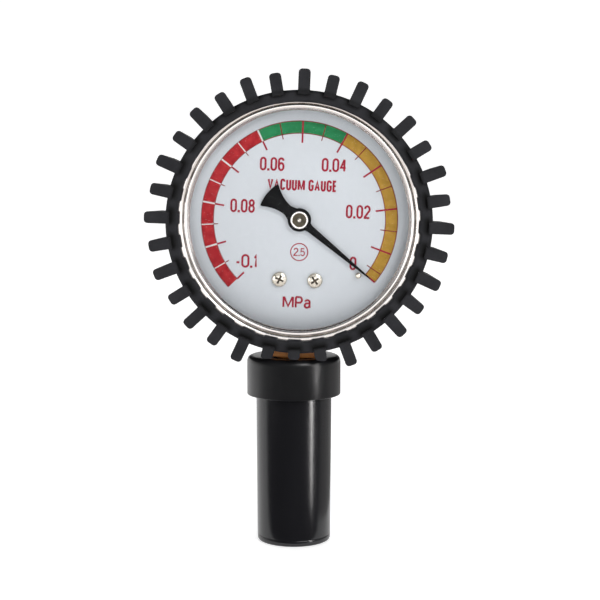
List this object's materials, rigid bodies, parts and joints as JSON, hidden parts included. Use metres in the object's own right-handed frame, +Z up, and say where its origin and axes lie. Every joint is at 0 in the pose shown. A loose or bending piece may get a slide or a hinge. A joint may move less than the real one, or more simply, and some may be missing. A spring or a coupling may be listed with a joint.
{
  "type": "dial vacuum gauge",
  "caption": "Hand-held dial vacuum gauge in a lugged rubber boot, on a plug-in barrel with a collar; geared pointer driven by a curved tube.",
  "frame": {"origin": "on the barrel's axis, in the plane of its open lower end, where the gauge stands", "axes": "+Z up along the barrel towards the gauge head, +Y out of the back of the gauge, so the dial faces -Y, and +X to the right of someone reading the dial"},
  "size_m": [0.08, 0.028, 0.127],
  "materials": {
    "boot_rubber": "matte moulded black rubber",
    "chrome": "bright chrome plate",
    "clear_lens": "clear flat window",
    "gasket_rubber": "plain black rubber",
    "black_steel": "black painted pressed steel",
    "dial_white": "satin white enamel with a printed scale",
    "nickel": "nickel plated",
    "pointer_black": "satin black paint",
    "brass": "machined brass",
    "bronze": "drawn phosphor bronze",
    "spring_bronze": "rolled bronze strip",
    "steel": "turned steel",
    "matte_plastic": "satin black moulded plastic",
    "gloss_plastic": "glossy black plastic tube"
  },
  "bodies": {
    "housing": {"rubber_boot": "boot_rubber", "bezel_ring": "chrome", "window_lens": "clear_lens", "window_gasket": "gasket_rubber", "case_shell": "black_steel", "case_vent_plug": "gasket_rubber", "case_screw_left": "nickel", "case_screw_right": "nickel", "dial_plate": "dial_white", "dial_screw_left": "nickel", "dial_screw_right": "nickel", "dial_spacer_left": "brass", "dial_spacer_right": "brass", "stop_pin": "nickel", "stem_socket": "brass", "restrictor_screw": "brass", "lock_nut": "nickel", "lock_washer": "steel", "sealing_washer": "gasket_rubber", "collar_cap": "matte_plastic", "barrel_tube": "gloss_plastic", "movement_front_plate": "brass", "movement_back_plate": "brass", "movement_pillar_left": "brass", "movement_pillar_right": "brass", "movement_pillar_lower": "brass", "movement_screw_upper": "nickel", "movement_screw_lower": "nickel", "hairspring_stud": "brass", "hairspring": "spring_bronze", "bourdon_tube": "bronze"},
    "sector": {"sector_gear": "brass", "sector_arbor": "steel", "link_tail_pin": "steel"},
    "pointer": {"pinion_arbor": "steel", "pointer_boss": "brass", "pointer_needle": "pointer_black", "hairspring_collet": "brass"},
    "link": {"link_bar": "brass"},
    "tube_tip": {"tip_block": "brass", "link_tip_pin": "steel"}
  },
  "joints": [
    {"name": "sector_swing", "type": "hinge", "parent": "housing", "child": "sector", "pos_m": [0.00461, 0, 0.07484], "axis": [0, 1, 0], "range_deg": [0, 29.23], "stiffness_Nm_per_rad": 0.02, "springref_deg": -5.73},
    {"name": "pointer_turn", "type": "hinge", "parent": "housing", "child": "pointer", "pos_m": [0.00157, 0, 0.08697], "axis": [0, -1, 0], "range_deg": [0, 263.1], "deforming": ["hairspring"]},
    {"name": "link_swing", "type": "hinge", "parent": "sector", "child": "link", "pos_m": [0.00959, 0, 0.07228], "axis": [0, -1, 0], "range_deg": [0, 31.6]},
    {"name": "tube_tip_curl", "type": "hinge", "parent": "housing", "child": "tube_tip", "pos_m": [-0.00024, 0, 0.09184], "axis": [0, 1, 0], "range_deg": [0, 8.19], "deforming": ["bourdon_tube"]}
  ],
  "couplings": [
    {"joint": "pointer_turn", "follows": "sector_swing", "ratio": 9},
    {"joint": "link_swing", "follows": "sector_swing", "ratio": 1.0803},
    {"joint": "tube_tip_curl", "follows": "sector_swing", "ratio": 0.28}
  ]
}
